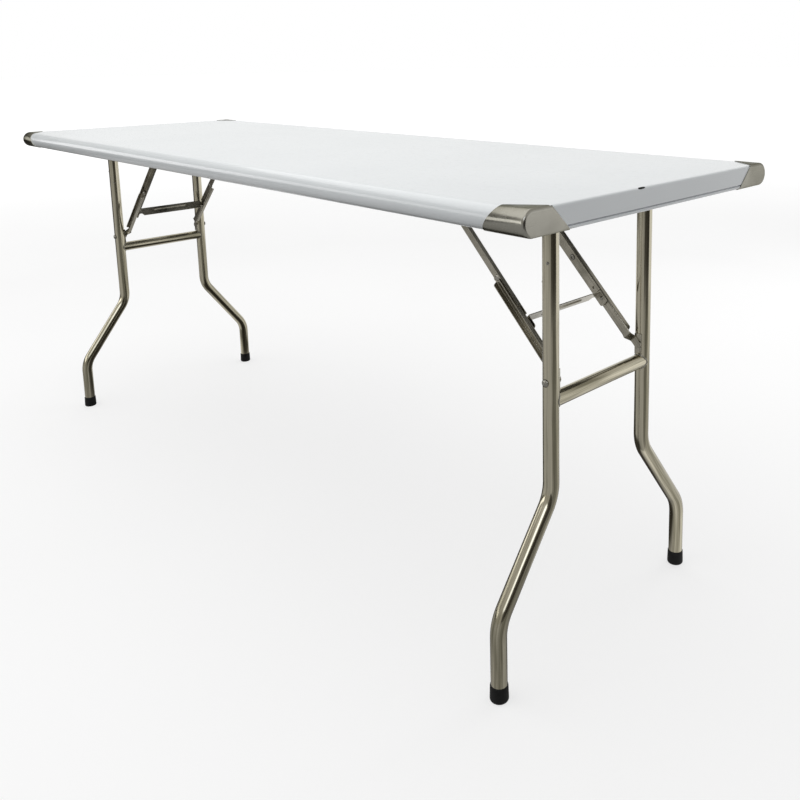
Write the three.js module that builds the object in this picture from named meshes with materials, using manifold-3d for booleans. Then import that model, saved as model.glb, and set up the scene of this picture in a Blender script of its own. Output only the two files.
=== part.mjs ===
// Folding worktable with a sheet-metal top, two tubular leg frames and toggle braces.
// Millimetres, +Z up. X runs along the top, Y across it, and the origin is on the floor
// under the middle of the top. The near end is at +X and the front edge at -Y.
import * as THREE from 'three';
import Module from 'manifold-3d';
import { mergeVertices } from 'three/addons/utils/BufferGeometryUtils.js';

const wasm = await Module();
wasm.setup();

// Overall size
const tableLength = 1829;
const tableWidth = 610;
const tableHeight = 762;
const topDepth = 38;

// Fits between pieces
const seatGap = 0.3;
const runningGap = 0.4;
const cutOverrun = 5;

// Top sheet
const sheetThickness = 1.2;
const sheetBend = 3;
const edgeReturn = 18;
const skirtReturn = 16;

// Corner caps: how far each runs along the long edge and across the end, above and below
const capThickness = 0.8;
const capBend = 2.4;
const capReturn = 14;
const capEdgeReachAbove = 50;
const capEdgeReachBelow = 79;
const capEndReachAbove = 52;
const capEndReachBelow = 90;
const capCornerCut = 16;

// Lengthwise channels under the top
const railThickness = 1.2;
const railDepth = 7;
const railFlange = 14;
const railEndInset = 26;
const sideRailWidth = 84;
const sideRailSetback = 11;
const centreRailWidth = 56;
const centreRailDepth = 10;

// Leg frames
const legInset = 117.5;
const legSpreadShare = 0.39;
const footSpreadShare = 0.78;
const tubeDiameter = 25.4;
const tubeWall = 1.5;
const hingeDrop = 42;
const hingeEndReach = 12;
const upperKinkShare = 0.3675;
const lowerKinkShare = 0.162;
const kinkRadius = 65;
const crossbarDrop = 31;
const crossbarDiameter = 24.4;
const crossbarWall = 1.5;

// Rubber feet
const footDiameter = 29;
const footHeight = 26;
const footFloor = 5;
const footEdge = 3;
const footTaper = 0.6;

// Hinge brackets and pins
const bracketThickness = 1.8;
const hingeBracketLength = 38;
const hingeEarRadius = 10;
const hingePinDiameter = 8;
const pinHeadOverlap = 2.4;
const pinHeadHeight = 1.6;
const braceBracketLength = 50;
const braceBracketSetback = 12;
const braceEarRadius = 8;
const bracePinDiameter = 7;

// Braces
const braceAngle = Math.PI / 4;
const boltDrop = 257;
const braceTopDrop = 21;
const foldedBraceAngle = -Math.PI / 180;
const linkThickness = 1.6;
const linkBend = 2.2;
const upperLinkOpenSide = 8.5;
const upperLinkWebSide = 10.5;
const stopLength = 62;
const lockFlangeLength = 76;
const lockFlangeChamfer = 4;
const detentSetback = 10;
const detentDiameter = 4.7;
const lowerLinkHeight = 17;
const lowerLinkDepth = 10;
const lowerFlangeStart = 3;
const channelEndSetback = 26;
const channelEndSlant = 6;
const crankLength = 12;
const crankSetback = 10;
const tongueHeight = 13.4;
const tongueRadius = 7;
const knuckleDiameter = 6.5;

// Leg end of the braces
const saddleHeight = 36;
const saddleWidth = 13;
const saddleThickness = 1.1;
const boltDiameter = 6.5;
const boltHeadOverlap = 3;
const boltHeadHeight = 3;

// Bar between the two lower links of an end, set square across them
const tieOffset = 79;
const tieAbove = 9;
const tieBelow = 15;
const tieThickness = 1.4;
const tieGrooveDepth = 2.4;
const tieGrooveWidth = 9;
const tieGrooveInset = 42;
const tieNeckBelow = 8;
const tieNeckLength = 8;
const tieNeckSlant = 4;
const tabLength = 22;
const tabCorner = 4;
const tieBossReach = 11;
const tieBossDiameter = 7;
const tieBossLift = 3.2;

// Smoothness of the curves
const arcDivisions = 7;
const filletSteps = 3;
const bevelSteps = 2;
const tubeSides = 16;
const kinkSteps = 4;
const pinSides = 12;
const domeSteps = 2;
const footSides = 18;
const earRoundShare = 0.95;
const linkRoundShare = 0.98;
const mergeTolerance = 1e-4;

// Places worked out from the sizes above
const halfLength = tableLength / 2;
const halfWidth = tableWidth / 2;
const topUnderside = tableHeight - topDepth;
const sheetInset = capThickness + seatGap;
const sheetTop = tableHeight - sheetInset;
const railTop = sheetTop - sheetThickness - seatGap;
const railUnderside = railTop - railDepth;
const legX = halfLength - legInset;
const legY = halfWidth * legSpreadShare;
const footY = halfWidth * footSpreadShare;
const sideRailOffset = legY - sideRailSetback;
const tubeRadius = tubeDiameter / 2;

// Heights of the leg frame and the brace, from the worktop down
const hingeHeight = tableHeight - hingeDrop;
const boltHeight = hingeHeight - boltDrop;
const crossbarHeight = boltHeight - crossbarDrop;
const upperKinkHeight = tableHeight * upperKinkShare;
const lowerKinkHeight = tableHeight * lowerKinkShare;
const braceTopHeight = tableHeight - braceTopDrop;

// Stack of the brace beside a leg, from the leg inwards; the upper link stays clear of the hinge pin heads
const legInnerSide = legY - tubeRadius;
const saddleFace = legInnerSide - seatGap - saddleThickness;
const tongueOuter = saddleFace - seatGap;
const tongueInner = tongueOuter - linkThickness;
const lowerFlangeOuter = saddleFace - runningGap;
const lowerWebInner = lowerFlangeOuter - lowerLinkDepth;
const hingeEarInner = legInnerSide - seatGap - bracketThickness;
const upperLinkOuter = hingeEarInner - seatGap - pinHeadHeight - runningGap;
const upperLinkInner = lowerWebInner - runningGap - linkThickness;
const tabOuter = upperLinkInner - runningGap;

// The two links lie in line when open and fold flat when the leg lies under the top
const braceTopX = legX - (braceTopHeight - boltHeight) / Math.tan(braceAngle);
const braceReach = (braceTopHeight - boltHeight) / Math.sin(braceAngle);
const foldedBoltX = legX - (hingeHeight - boltHeight);
const foldedStep = new THREE.Vector2(foldedBoltX - braceTopX, hingeHeight - braceTopHeight);
const foldedDirection = new THREE.Vector2(Math.cos(foldedBraceAngle), Math.sin(foldedBraceAngle));
const upperLinkLength = (braceReach ** 2 - foldedStep.lengthSq())
  / (2 * (braceReach - foldedStep.dot(foldedDirection)));
const lowerLinkLength = braceReach - upperLinkLength;

// Solids and geometries
const alongX = new THREE.Matrix4().makeBasis(
  new THREE.Vector3(0, 1, 0), new THREE.Vector3(0, 0, 1), new THREE.Vector3(1, 0, 0));
const alongY = new THREE.Matrix4().makeBasis(
  new THREE.Vector3(1, 0, 0), new THREE.Vector3(0, 0, 1), new THREE.Vector3(0, -1, 0));

function signedVolume(positions, index) {
  const a = new THREE.Vector3();
  const b = new THREE.Vector3();
  const c = new THREE.Vector3();
  let sum = 0;
  for (let i = 0; i < index.length; i += 3) {
    a.fromArray(positions, index[i] * 3);
    b.fromArray(positions, index[i + 1] * 3);
    c.fromArray(positions, index[i + 2] * 3);
    sum += a.dot(b.cross(c)) / 6;
  }
  return sum;
}

function reverseFaces(index) {
  for (let i = 0; i < index.length; i += 3) {
    [index[i + 1], index[i + 2]] = [index[i + 2], index[i + 1]];
  }
}

// A closed geometry as a solid, with its faces pointing out and its collapsed faces left out.
function solidOf(geometry) {
  const bare = new THREE.BufferGeometry();
  bare.setAttribute('position', geometry.getAttribute('position'));
  bare.setIndex(geometry.index);
  const merged = mergeVertices(bare, mergeTolerance);
  const source = merged.index.array;
  const kept = [];
  for (let i = 0; i < source.length; i += 3) {
    const [a, b, c] = source.slice(i, i + 3);
    if (a !== b && b !== c && c !== a) kept.push(a, b, c);
  }
  const triVerts = new Uint32Array(kept);
  const vertProperties = new Float32Array(merged.attributes.position.array);
  if (signedVolume(vertProperties, triVerts) < 0) reverseFaces(triVerts);
  return new wasm.Manifold(new wasm.Mesh({ numProp: 3, vertProperties, triVerts }));
}

function geometryOf(solid) {
  const mesh = solid.getMesh();
  const geometry = new THREE.BufferGeometry();
  geometry.setAttribute('position', new THREE.BufferAttribute(new Float32Array(mesh.vertProperties), 3));
  geometry.setIndex(new THREE.BufferAttribute(new Uint32Array(mesh.triVerts), 1));
  geometry.computeVertexNormals();
  return geometry;
}

// The same piece on the other side of the table's long axis.
function mirrored(geometry) {
  const copy = geometry.clone().scale(1, -1, 1);
  reverseFaces(copy.index.array);
  copy.computeVertexNormals();
  return copy;
}

// An outline from corners [a, b, radius]; the radius is left out at a sharp corner.
function outline(corners) {
  const shape = new THREE.Shape();
  const count = corners.length;
  const at = (i) => new THREE.Vector2(corners[(i + count) % count][0], corners[(i + count) % count][1]);
  const points = [];
  for (let i = 0; i < count; i += 1) {
    const corner = at(i);
    const radius = corners[i][2] ?? 0;
    if (radius === 0) {
      points.push(corner);
      continue;
    }
    const toPrevious = at(i - 1).sub(corner).normalize();
    const toNext = at(i + 1).sub(corner).normalize();
    const halfAngle = Math.acos(THREE.MathUtils.clamp(toPrevious.dot(toNext), -1, 1)) / 2;
    const centre = corner.clone().addScaledVector(
      toPrevious.clone().add(toNext).normalize(), radius / Math.sin(halfAngle));
    const start = corner.clone().addScaledVector(toPrevious, radius / Math.tan(halfAngle)).sub(centre);
    const end = corner.clone().addScaledVector(toNext, radius / Math.tan(halfAngle)).sub(centre);
    const sweep = Math.atan2(start.cross(end), start.dot(end));
    for (let step = 0; step <= filletSteps; step += 1) {
      points.push(start.clone().rotateAround(new THREE.Vector2(), sweep * step / filletSteps).add(centre));
    }
  }
  shape.setFromPoints(points);
  return shape;
}

function bar(shape, axes, from, to, edge = 0) {
  const geometry = new THREE.ExtrudeGeometry(shape, {
    depth: to - from - 2 * edge,
    curveSegments: arcDivisions,
    bevelEnabled: edge > 0,
    bevelThickness: edge,
    bevelSize: edge,
    bevelOffset: -edge,
    bevelSegments: bevelSteps,
  });
  geometry.translate(0, 0, from + edge);
  if (axes) geometry.applyMatrix4(axes);
  return solidOf(geometry);
}

// The shape's first axis is Y and its second is Z.
function barAlongX(shape, from, to, edge) {
  return bar(shape, alongX, from, to, edge);
}

// The shape's first axis is X and its second is Z.
function barAlongY(shape, from, to) {
  return bar(shape, alongY, -to, -from);
}

function barAlongZ(shape, from, to) {
  return bar(shape, null, from, to);
}

function box(x0, x1, y0, y1, z0, z1) {
  const geometry = new THREE.BoxGeometry(x1 - x0, y1 - y0, z1 - z0);
  geometry.translate((x0 + x1) / 2, (y0 + y1) / 2, (z0 + z1) / 2);
  return solidOf(geometry);
}

// A round rod along Y.
function rodAlongY(radius, x, z, from, to) {
  const geometry = new THREE.CylinderGeometry(radius, radius, to - from, pinSides);
  geometry.translate(x, (from + to) / 2, z);
  return solidOf(geometry);
}

// A pin along Y with a domed head outside one or both of its seats.
function pinSolid({ radius, overlap, head, from, to, x, z, inner = true, outer = true }) {
  const headRadius = radius + overlap;
  const profile = [];
  const dome = (level, direction) => {
    const arc = [];
    for (let step = 0; step <= domeSteps; step += 1) {
      const angle = Math.PI / 2 * step / domeSteps;
      arc.push(new THREE.Vector2(headRadius * Math.cos(angle), level + direction * head * Math.sin(angle)));
    }
    arc[domeSteps].x = 0;
    return arc;
  };
  if (inner) {
    profile.push(...dome(from, -1).reverse(), new THREE.Vector2(radius, from));
  } else {
    profile.push(new THREE.Vector2(0, from), new THREE.Vector2(radius, from));
  }
  if (outer) {
    profile.push(new THREE.Vector2(radius, to), ...dome(to, 1));
  } else {
    profile.push(new THREE.Vector2(radius, to), new THREE.Vector2(0, to));
  }
  const geometry = new THREE.LatheGeometry(profile, pinSides);
  geometry.translate(x, 0, z);
  return solidOf(geometry);
}

// A path through chosen stations, each with its own direction.
class StationPath extends THREE.Curve {
  constructor(stations) {
    super();
    this.stations = stations;
  }

  station(u) {
    return this.stations[Math.round(u * (this.stations.length - 1))];
  }

  getPointAt(u, target = new THREE.Vector3()) {
    return target.copy(this.station(u).point);
  }

  getTangentAt(u, target = new THREE.Vector3()) {
    return target.copy(this.station(u).direction);
  }
}

function ringShape(outerRadius, innerRadius) {
  const ring = (radius) => {
    const points = [];
    for (let side = 0; side < tubeSides; side += 1) {
      const angle = 2 * Math.PI * side / tubeSides;
      points.push(new THREE.Vector2(radius * Math.cos(angle), radius * Math.sin(angle)));
    }
    return points;
  };
  const shape = new THREE.Shape(ring(outerRadius));
  shape.holes.push(new THREE.Path(ring(innerRadius)));
  return shape;
}

// Stations of a tube whose centre line lies in a plane of constant X.
// corners are [y, z] from one end to the other, and each inner corner is rounded.
function bentStations(corners, x, radius) {
  const points = corners.map(([y, z]) => new THREE.Vector3(x, y, z));
  const stations = [];
  const last = points.length - 1;
  const heading = (i) => points[i + 1].clone().sub(points[i]).normalize();
  stations.push({ point: points[0], direction: heading(0) });
  for (let i = 1; i < last; i += 1) {
    const before = heading(i - 1);
    const after = heading(i);
    const turn = before.angleTo(after);
    const axis = before.clone().cross(after).normalize();
    const start = points[i].clone().addScaledVector(before, -radius * Math.tan(turn / 2));
    const centre = start.clone().addScaledVector(axis.clone().cross(before), radius);
    for (let step = 0; step <= kinkSteps; step += 1) {
      const angle = turn * step / kinkSteps;
      stations.push({
        point: start.clone().sub(centre).applyAxisAngle(axis, angle).add(centre),
        direction: before.clone().applyAxisAngle(axis, angle),
      });
    }
  }
  stations.push({ point: points[last], direction: heading(last - 1) });
  return stations;
}

function sweptTube(stations, outerRadius, innerRadius) {
  return solidOf(new THREE.ExtrudeGeometry(ringShape(outerRadius, innerRadius), {
    steps: stations.length - 1,
    extrudePath: new StationPath(stations),
  }));
}

// Top sheet: a shell with half-round long edges, flat ends and inward returns below
function roundEdgedShape(inset) {
  const radius = topDepth / 2 - inset;
  const middle = tableHeight - topDepth / 2;
  const reach = halfWidth - inset - radius;
  const shape = new THREE.Shape();
  shape.absarc(reach, middle, radius, -Math.PI / 2, Math.PI / 2, false);
  shape.absarc(-reach, middle, radius, Math.PI / 2, Math.PI * 3 / 2, false);
  shape.closePath();
  return shape;
}

function topSheet() {
  const outerEnd = halfLength - sheetInset;
  const innerEnd = outerEnd - sheetThickness;
  const innerBend = sheetBend - sheetThickness;
  const edgeLine = halfWidth - topDepth / 2;
  const outer = barAlongX(roundEdgedShape(sheetInset), -outerEnd, outerEnd, sheetBend);
  const inner = barAlongX(roundEdgedShape(sheetInset + sheetThickness), -innerEnd, innerEnd, innerBend);
  const opening = box(skirtReturn - outerEnd, outerEnd - skirtReturn,
    edgeReturn - edgeLine, edgeLine - edgeReturn,
    topUnderside - cutOverrun, topUnderside + topDepth / 2);
  return outer.subtract(inner).subtract(opening);
}

// Corner cap at the near end of the back edge: a thin shell with slanted open edges
function cornerCap() {
  const reach = Math.max(capEdgeReachBelow, capEndReachBelow) + capReturn;
  const top = tableHeight;
  const edgeLine = halfWidth - topDepth / 2;
  const shell = barAlongX(roundEdgedShape(0), -halfLength, halfLength, capBend)
    .subtract(barAlongX(roundEdgedShape(capThickness),
      capThickness - halfLength, halfLength - capThickness, capBend - capThickness));
  const corner = box(halfLength - reach, halfLength + cutOverrun, halfWidth - reach, halfWidth + cutOverrun,
    topUnderside - cutOverrun, top + cutOverrun);
  const below = box(halfLength - reach - cutOverrun, halfLength - capReturn,
    halfWidth - reach - cutOverrun, edgeLine - capReturn,
    topUnderside - cutOverrun, topUnderside + topDepth / 2);
  const edgeSlope = (capEdgeReachBelow - capEdgeReachAbove) / topDepth;
  const endSlope = (capEndReachBelow - capEndReachAbove) / topDepth;
  const beyondEdge = barAlongY(outline([
    [halfLength - reach - cutOverrun, top + cutOverrun],
    [halfLength - reach - cutOverrun, topUnderside - cutOverrun],
    [halfLength - capEdgeReachBelow - edgeSlope * cutOverrun, topUnderside - cutOverrun],
    [halfLength - capEdgeReachAbove + edgeSlope * cutOverrun, top + cutOverrun],
  ]), halfWidth - reach - cutOverrun, halfWidth + cutOverrun);
  const beyondEnd = barAlongX(outline([
    [halfWidth - reach - cutOverrun, top + cutOverrun],
    [halfWidth - reach - cutOverrun, topUnderside - cutOverrun],
    [halfWidth - capEndReachBelow - endSlope * cutOverrun, topUnderside - cutOverrun],
    [halfWidth - capEndReachAbove + endSlope * cutOverrun, top + cutOverrun],
  ]), halfLength - reach - cutOverrun, halfLength + cutOverrun);
  const cornerSlope = (capEndReachAbove - capCornerCut) / capEdgeReachAbove;
  const beyondCorner = barAlongZ(outline([
    [halfLength + cutOverrun, halfWidth - capEndReachAbove - cornerSlope * cutOverrun],
    [halfLength - capEdgeReachAbove - cutOverrun, halfWidth - capCornerCut + cornerSlope * cutOverrun],
    [halfLength - reach, halfWidth - reach],
  ]), top - capBend, top + cutOverrun);
  return shell.intersect(corner).subtract(below).subtract(beyondEdge).subtract(beyondEnd)
    .subtract(beyondCorner);
}

// Hat channel hung under the sheet, its flanges up
function hatRail(y, width, depth) {
  const half = width / 2;
  const crown = half - railFlange;
  const shape = outline([
    [y - half, railTop],
    [y - half, railTop - railThickness],
    [y - crown, railTop - railThickness],
    [y - crown, railTop - depth],
    [y + crown, railTop - depth],
    [y + crown, railTop - railThickness],
    [y + half, railTop - railThickness],
    [y + half, railTop],
    [y + crown - railThickness, railTop],
    [y + crown - railThickness, railTop - depth + railThickness],
    [y - crown + railThickness, railTop - depth + railThickness],
    [y - crown + railThickness, railTop],
  ]);
  return barAlongX(shape, railEndInset - halfLength, halfLength - railEndInset);
}

// Inverted U of bracket sheet with its ears at two widths
function earSection(inner, outer, top, bottom) {
  return outline([
    [inner, bottom],
    [inner, top, sheetBend],
    [outer, top, sheetBend],
    [outer, bottom],
    [outer - bracketThickness, bottom],
    [outer - bracketThickness, top - bracketThickness],
    [inner + bracketThickness, top - bracketThickness],
    [inner + bracketThickness, bottom],
  ]);
}

const bracketTop = railUnderside - seatGap;
const hingeEarOuter = legY + tubeRadius + seatGap + bracketThickness;
const braceEarInner = upperLinkInner - runningGap - bracketThickness;
const braceEarOuter = upperLinkOuter + runningGap + bracketThickness;

function hingeBracket() {
  const bottom = hingeHeight - hingeEarRadius;
  const section = barAlongX(earSection(hingeEarInner, hingeEarOuter, bracketTop, bottom),
    legX - hingeBracketLength, legX + hingeBracketLength);
  const side = barAlongY(outline([
    [legX - hingeBracketLength / 2, bracketTop + cutOverrun],
    [legX - hingeEarRadius, bottom, hingeEarRadius * earRoundShare],
    [legX + hingeEarRadius, bottom, hingeEarRadius * earRoundShare],
    [legX + hingeBracketLength / 2, bracketTop + cutOverrun],
  ]), hingeEarInner - cutOverrun, hingeEarOuter + cutOverrun);
  return section.intersect(side).subtract(rodAlongY(hingePinDiameter / 2 + seatGap, legX, hingeHeight,
    hingeEarInner - cutOverrun, hingeEarOuter + cutOverrun));
}

function hingePin() {
  return pinSolid({
    radius: hingePinDiameter / 2, overlap: pinHeadOverlap, head: pinHeadHeight,
    from: hingeEarInner - seatGap, to: hingeEarOuter + seatGap, x: legX, z: hingeHeight,
  });
}

// Clevis bridged behind the end of the upper link, so that the link can lie flat
function braceBracket() {
  const bottom = braceTopHeight - braceEarRadius;
  const back = braceTopX + braceEarRadius - braceBracketLength;
  const section = barAlongX(earSection(braceEarInner, braceEarOuter, bracketTop, bottom),
    back - cutOverrun, braceTopX + braceEarRadius);
  const side = barAlongY(outline([
    [back, bracketTop + cutOverrun],
    [back, bracketTop - bracketThickness * 2],
    [braceTopX - braceEarRadius, bottom, braceEarRadius * earRoundShare],
    [braceTopX + braceEarRadius, bottom, braceEarRadius * earRoundShare],
    [braceTopX + braceEarRadius, bracketTop + cutOverrun],
  ]), braceEarInner - cutOverrun, braceEarOuter + cutOverrun);
  const linkSpace = box(braceTopX - braceBracketSetback, braceTopX + braceBracketLength,
    braceEarInner + bracketThickness, braceEarOuter - bracketThickness,
    bottom - cutOverrun, bracketTop + cutOverrun);
  return section.intersect(side).subtract(linkSpace)
    .subtract(rodAlongY(bracePinDiameter / 2 + seatGap, braceTopX, braceTopHeight,
      braceEarInner - cutOverrun, braceEarOuter + cutOverrun));
}

function bracePin() {
  return pinSolid({
    radius: bracePinDiameter / 2, overlap: pinHeadOverlap, head: pinHeadHeight / 2,
    from: braceEarInner - seatGap, to: braceEarOuter + seatGap, x: braceTopX, z: braceTopHeight,
  });
}

// Leg frame pieces
function legTube() {
  const stations = bentStations([
    [legY, hingeHeight + hingeEndReach],
    [legY, upperKinkHeight],
    [footY, lowerKinkHeight],
    [footY, footFloor + seatGap],
  ], legX, kinkRadius);
  const outerSide = footY + tubeDiameter;
  return sweptTube(stations, tubeRadius, tubeRadius - tubeWall)
    .subtract(rodAlongY(hingePinDiameter / 2 + seatGap, legX, hingeHeight, 0, outerSide))
    .subtract(rodAlongY(boltDiameter / 2 + seatGap, legX, boltHeight, 0, outerSide));
}

// Crossbar between the legs, its ends coped to the tubes
function legCrossbar() {
  const radius = crossbarDiameter / 2;
  const stations = [-legY, legY].map((y) => ({
    point: new THREE.Vector3(legX, y, crossbarHeight),
    direction: new THREE.Vector3(0, 1, 0),
  }));
  let tube = sweptTube(stations, radius, radius - crossbarWall);
  for (const y of [-legY, legY]) {
    const cope = new THREE.CylinderGeometry(tubeRadius + seatGap, tubeRadius + seatGap,
      crossbarDiameter + cutOverrun * 2, tubeSides * 2);
    cope.rotateX(Math.PI / 2);
    cope.translate(legX, y, crossbarHeight);
    tube = tube.subtract(solidOf(cope));
    const beyond = Math.sign(y) * legY;
    tube = tube.subtract(box(legX - crossbarDiameter, legX + crossbarDiameter,
      Math.min(beyond, beyond * 2), Math.max(beyond, beyond * 2),
      crossbarHeight - crossbarDiameter, crossbarHeight + crossbarDiameter));
  }
  return tube;
}

// Rubber foot: a cup with a rounded sole and a slightly drawn-in mouth
function rubberFoot() {
  const radius = footDiameter / 2;
  const bore = tubeRadius + seatGap;
  const corner = (angle) => new THREE.Vector2(
    radius - footEdge + footEdge * Math.sin(angle), footEdge - footEdge * Math.cos(angle));
  const profile = [new THREE.Vector2(0, 0)];
  for (let step = 0; step <= filletSteps; step += 1) {
    profile.push(corner(Math.PI / 2 * step / filletSteps));
  }
  profile.push(
    new THREE.Vector2(radius - footTaper / 2, footHeight - footEdge / 2),
    new THREE.Vector2(radius - footTaper, footHeight),
    new THREE.Vector2(bore, footHeight),
    new THREE.Vector2(bore, footFloor),
    new THREE.Vector2(0, footFloor),
  );
  const geometry = new THREE.LatheGeometry(profile, footSides);
  geometry.rotateX(Math.PI / 2);
  geometry.translate(legX, footY, 0);
  return solidOf(geometry);
}

// Spacer between the round leg and the flat tongue
function saddle() {
  const half = saddleWidth / 2;
  const hollow = tubeRadius + seatGap;
  const sideLine = legY - Math.sqrt(hollow ** 2 - half ** 2);
  const block = barAlongZ(outline([
    [legX - half, saddleFace],
    [legX + half, saddleFace],
    [legX + half, sideLine],
    [legX - half, sideLine],
  ]), boltHeight - saddleHeight / 2, boltHeight + saddleHeight / 2);
  const leg = new THREE.CylinderGeometry(hollow, hollow, saddleHeight + cutOverrun * 2, tubeSides);
  leg.rotateX(Math.PI / 2);
  leg.translate(legX, legY, boltHeight);
  return block.subtract(solidOf(leg))
    .subtract(rodAlongY(boltDiameter / 2 + seatGap, legX, boltHeight, 0, legY));
}

function braceBolt() {
  return pinSolid({
    radius: boltDiameter / 2, overlap: boltHeadOverlap, head: boltHeadHeight, inner: false,
    from: saddleFace, to: legY + tubeRadius + seatGap, x: legX, z: boltHeight,
  });
}

// Links are drawn with X from the upper pivot down the brace and Z towards the outside
function upperLink() {
  const end = upperLinkLength + lockFlangeLength;
  const height = upperLinkOpenSide + upperLinkWebSide;
  const endRadius = height / 2;
  const webInner = upperLinkWebSide - linkThickness;
  const innerFace = upperLinkInner + linkThickness;
  const section = outline([
    [upperLinkInner, -upperLinkOpenSide],
    [innerFace, -upperLinkOpenSide],
    [innerFace, webInner],
    [upperLinkOuter, webInner],
    [upperLinkOuter, upperLinkWebSide],
    [upperLinkInner, upperLinkWebSide, linkBend],
  ]);
  const channel = barAlongX(section, -endRadius, end);
  const side = barAlongY(outline([
    [-endRadius, -upperLinkOpenSide, endRadius * linkRoundShare],
    [end, -upperLinkOpenSide, lockFlangeChamfer],
    [end, upperLinkWebSide, lockFlangeChamfer],
    [-endRadius, upperLinkWebSide, endRadius * linkRoundShare],
  ]), upperLinkInner - cutOverrun, upperLinkOuter + cutOverrun);
  const pastWeb = box(upperLinkLength + stopLength, end + cutOverrun, innerFace, upperLinkOuter + cutOverrun,
    -upperLinkOpenSide - cutOverrun, upperLinkWebSide + cutOverrun);
  const holes = [
    rodAlongY(bracePinDiameter / 2 + seatGap, 0, 0, 0, legY),
    rodAlongY(knuckleDiameter / 2 + seatGap, upperLinkLength, 0, 0, legY),
    rodAlongY(detentDiameter / 2, end - detentSetback, 0, 0, legY),
  ];
  return holes.reduce((solid, hole) => solid.subtract(hole), channel.intersect(side).subtract(pastWeb));
}

function lowerLink() {
  const half = lowerLinkHeight / 2;
  const crankEnd = lowerLinkLength - crankSetback;
  const crankStart = crankEnd - crankLength;
  const tip = lowerLinkLength + tongueRadius;
  const webOuter = lowerWebInner + linkThickness;
  const strip = barAlongZ(outline([
    [-half, lowerWebInner],
    [crankStart, lowerWebInner],
    [crankEnd, tongueInner],
    [tip, tongueInner],
    [tip, tongueOuter],
    [crankEnd - linkThickness / 2, tongueOuter],
    [crankStart - linkThickness / 2, webOuter],
    [-half, webOuter],
  ]), -half, half);
  const tongueHalf = tongueHeight / 2;
  const side = barAlongY(outline([
    [-half, -half, half * linkRoundShare],
    [crankStart, -half],
    [crankEnd, -tongueHalf],
    [tip, -tongueHalf, tongueHalf * linkRoundShare],
    [tip, tongueHalf, tongueHalf * linkRoundShare],
    [crankEnd, tongueHalf],
    [crankStart, half],
    [-half, half, half * linkRoundShare],
  ]), lowerWebInner - cutOverrun, tongueOuter + cutOverrun);
  const channelEnd = lowerLinkLength - channelEndSetback;
  let solid = strip.intersect(side);
  for (const edge of [-half, half - linkThickness]) {
    const flange = barAlongZ(outline([
      [lowerFlangeStart, lowerWebInner],
      [channelEnd, lowerWebInner],
      [channelEnd - channelEndSlant, lowerFlangeOuter],
      [lowerFlangeStart + channelEndSlant, lowerFlangeOuter],
    ]), edge, edge + linkThickness);
    solid = solid.add(flange);
  }
  return solid
    .subtract(rodAlongY(knuckleDiameter / 2 + seatGap, 0, 0, 0, legY))
    .subtract(rodAlongY(boltDiameter / 2, lowerLinkLength, 0, 0, tongueInner + linkThickness / 2));
}

function knuckleRivet() {
  return pinSolid({
    radius: knuckleDiameter / 2, overlap: pinHeadOverlap, head: pinHeadHeight,
    from: upperLinkInner - seatGap, to: lowerWebInner + linkThickness + seatGap, x: 0, z: 0,
  });
}

// Plate with a pressed groove; its ends narrow and turn down the inner faces of the lower links
function braceTie() {
  const farFace = tieOffset + tieThickness;
  const neckEnd = tabOuter - tieNeckLength;
  const neckStart = neckEnd - tieNeckSlant;
  const plate = barAlongX(outline([
    [-tabOuter, tieAbove],
    [-tabOuter, -tieNeckBelow],
    [-neckEnd, -tieNeckBelow],
    [-neckStart, -tieBelow],
    [neckStart, -tieBelow],
    [neckEnd, -tieNeckBelow],
    [tabOuter, -tieNeckBelow],
    [tabOuter, tieAbove],
  ]), tieOffset, farFace);
  const middle = (tieAbove - tieBelow) / 2;
  const grooveEnd = tabOuter - tieGrooveInset;
  const half = tieGrooveWidth / 2;
  const wall = tieThickness / 2;
  const bulge = barAlongY(outline([
    [tieOffset + wall, middle + half + wall],
    [tieOffset + wall, middle - half - wall],
    [farFace + tieGrooveDepth, middle - half / 2 - wall],
    [farFace + tieGrooveDepth, middle + half / 2 + wall],
  ]), -grooveEnd - tieThickness, grooveEnd + tieThickness);
  const groove = barAlongY(outline([
    [tieOffset - cutOverrun, middle + half],
    [tieOffset - cutOverrun, middle - half],
    [tieOffset, middle - half],
    [tieOffset + tieGrooveDepth, middle - half / 2],
    [tieOffset + tieGrooveDepth, middle + half / 2],
    [tieOffset, middle + half],
  ]), -grooveEnd, grooveEnd);
  let solid = plate.add(bulge).subtract(groove);
  for (const side of [-1, 1]) {
    const faces = [side * tabOuter, side * (tabOuter - tieThickness)];
    const tab = barAlongY(outline([
      [tieOffset, -tieNeckBelow],
      [tieOffset + tabLength, -tieNeckBelow, tabCorner],
      [tieOffset + tabLength, tieAbove, tabCorner],
      [tieOffset, tieAbove],
    ]), Math.min(...faces), Math.max(...faces));
    const bossFaces = [side * (tabOuter - tieThickness), side * (lowerWebInner - seatGap)];
    const boss = rodAlongY(tieBossDiameter / 2, tieOffset + tieBossReach, tieBossLift,
      Math.min(...bossFaces), Math.max(...bossFaces));
    solid = solid.add(tab).add(boss);
  }
  return solid;
}

// Finishes
const stainless = { color: 0xb0a797, roughness: 0.28, metalness: 0.95 };
const finishes = {
  sheet: { color: 0xe6ebef, roughness: 0.34, metalness: 0.35 },
  cap: { color: 0xa9a294, roughness: 0.3, metalness: 0.95 },
  rail: { color: 0xaab0b4, roughness: 0.5, metalness: 0.8 },
  bracket: { color: 0x9fa3a5, roughness: 0.45, metalness: 0.85 },
  pin: { color: 0x8f8b82, roughness: 0.35, metalness: 0.9 },
  tube: stainless,
  link: { color: 0x9d9588, roughness: 0.32, metalness: 0.92 },
  rubber: { color: 0x1d1c1b, roughness: 0.75, metalness: 0 },
};

function piece(name, geometry, finish) {
  const mesh = new THREE.Mesh(geometry, new THREE.MeshStandardMaterial(finishes[finish]));
  mesh.name = name;
  return mesh;
}

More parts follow.
